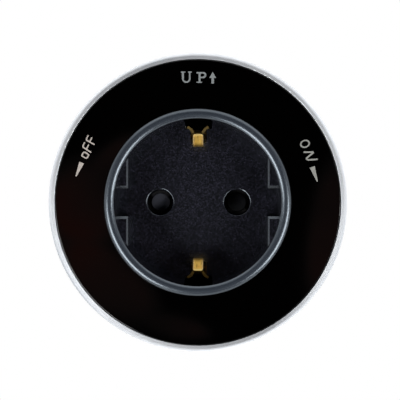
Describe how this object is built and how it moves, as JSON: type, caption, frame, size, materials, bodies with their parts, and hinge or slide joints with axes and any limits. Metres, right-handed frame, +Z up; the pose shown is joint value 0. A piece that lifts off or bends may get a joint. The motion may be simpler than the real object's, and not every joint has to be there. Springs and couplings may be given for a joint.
{
  "type": "twist-on track socket module",
  "caption": "Round earthed socket module with a recessed plug well, shuttered pin holes and side earth contacts, which twists onto a power track.",
  "frame": {"origin": "on the module axis, in the plane of the base collar that seats on the track", "axes": "+X right seen from the front, +Y back into the track along the axis, +Z up as the UP mark shows"},
  "size_m": [0.07, 0.0649, 0.07],
  "materials": {
    "face_gloss": "high gloss black",
    "trim_metal": "satin silver",
    "socket_plastic": "satin charcoal, fine spark-eroded texture",
    "body_plastic": "matte black moulded",
    "collar_plastic": "matte black moulded",
    "washer_nylon": "natural nylon",
    "key_plastic": "satin black moulded",
    "carrier_plastic": "natural moulded",
    "shutter_plastic": "smooth dark grey",
    "spring_steel": "drawn spring wire",
    "contact_brass": "bright stamped",
    "link_brass": "stamped",
    "earth_brass": "bright gold-coloured",
    "screw_steel": "zinc plated"
  },
  "bodies": {
    "base": {"base_collar": "collar_plastic", "thrust_washer": "washer_nylon"},
    "dial": {"face_ring": "face_gloss", "trim_ring": "trim_metal", "socket_insert": "socket_plastic", "body_housing": "body_plastic", "rear_cover": "body_plastic", "track_key": "key_plastic", "contact_carrier": "carrier_plastic", "shutter_spring": "spring_steel", "live_pin_sleeve": "contact_brass", "neutral_pin_sleeve": "contact_brass", "live_link": "link_brass", "neutral_link": "link_brass", "earth_bridge": "link_brass", "earth_link": "link_brass", "live_track_contact": "contact_brass", "neutral_track_contact": "contact_brass", "earth_track_contact": "contact_brass", "insert_screws": "screw_steel", "carrier_screws": "screw_steel", "cover_screws": "screw_steel", "key_screws": "screw_steel"},
    "shutter": {"shutter": "shutter_plastic"},
    "earth_upper": {"earth_contact_upper": "earth_brass"},
    "earth_lower": {"earth_contact_lower": "earth_brass"}
  },
  "joints": [
    {"name": "dial_twist", "type": "hinge", "parent": "base", "child": "dial", "pos_m": [0, 0, 0], "axis": [0, 1, 0], "range_deg": [0, 90]},
    {"name": "shutter_turn", "type": "hinge", "parent": "dial", "child": "shutter", "pos_m": [0, -0.0249, 0], "axis": [0, 1, 0], "range_deg": [0, 42], "stiffness_Nm_per_rad": 0.002, "springref_deg": -22.92, "deforming": ["shutter_spring"]},
    {"name": "earth_upper_flex", "type": "hinge", "parent": "dial", "child": "earth_upper", "pos_m": [0, -0.02, 0.0171], "axis": [-1, 0, 0], "range_deg": [0, 6.5], "stiffness_Nm_per_rad": 0.4},
    {"name": "earth_lower_flex", "type": "hinge", "parent": "dial", "child": "earth_lower", "pos_m": [0, -0.02, -0.0171], "axis": [1, 0, 0], "range_deg": [0, 6.5], "stiffness_Nm_per_rad": 0.4}
  ]
}
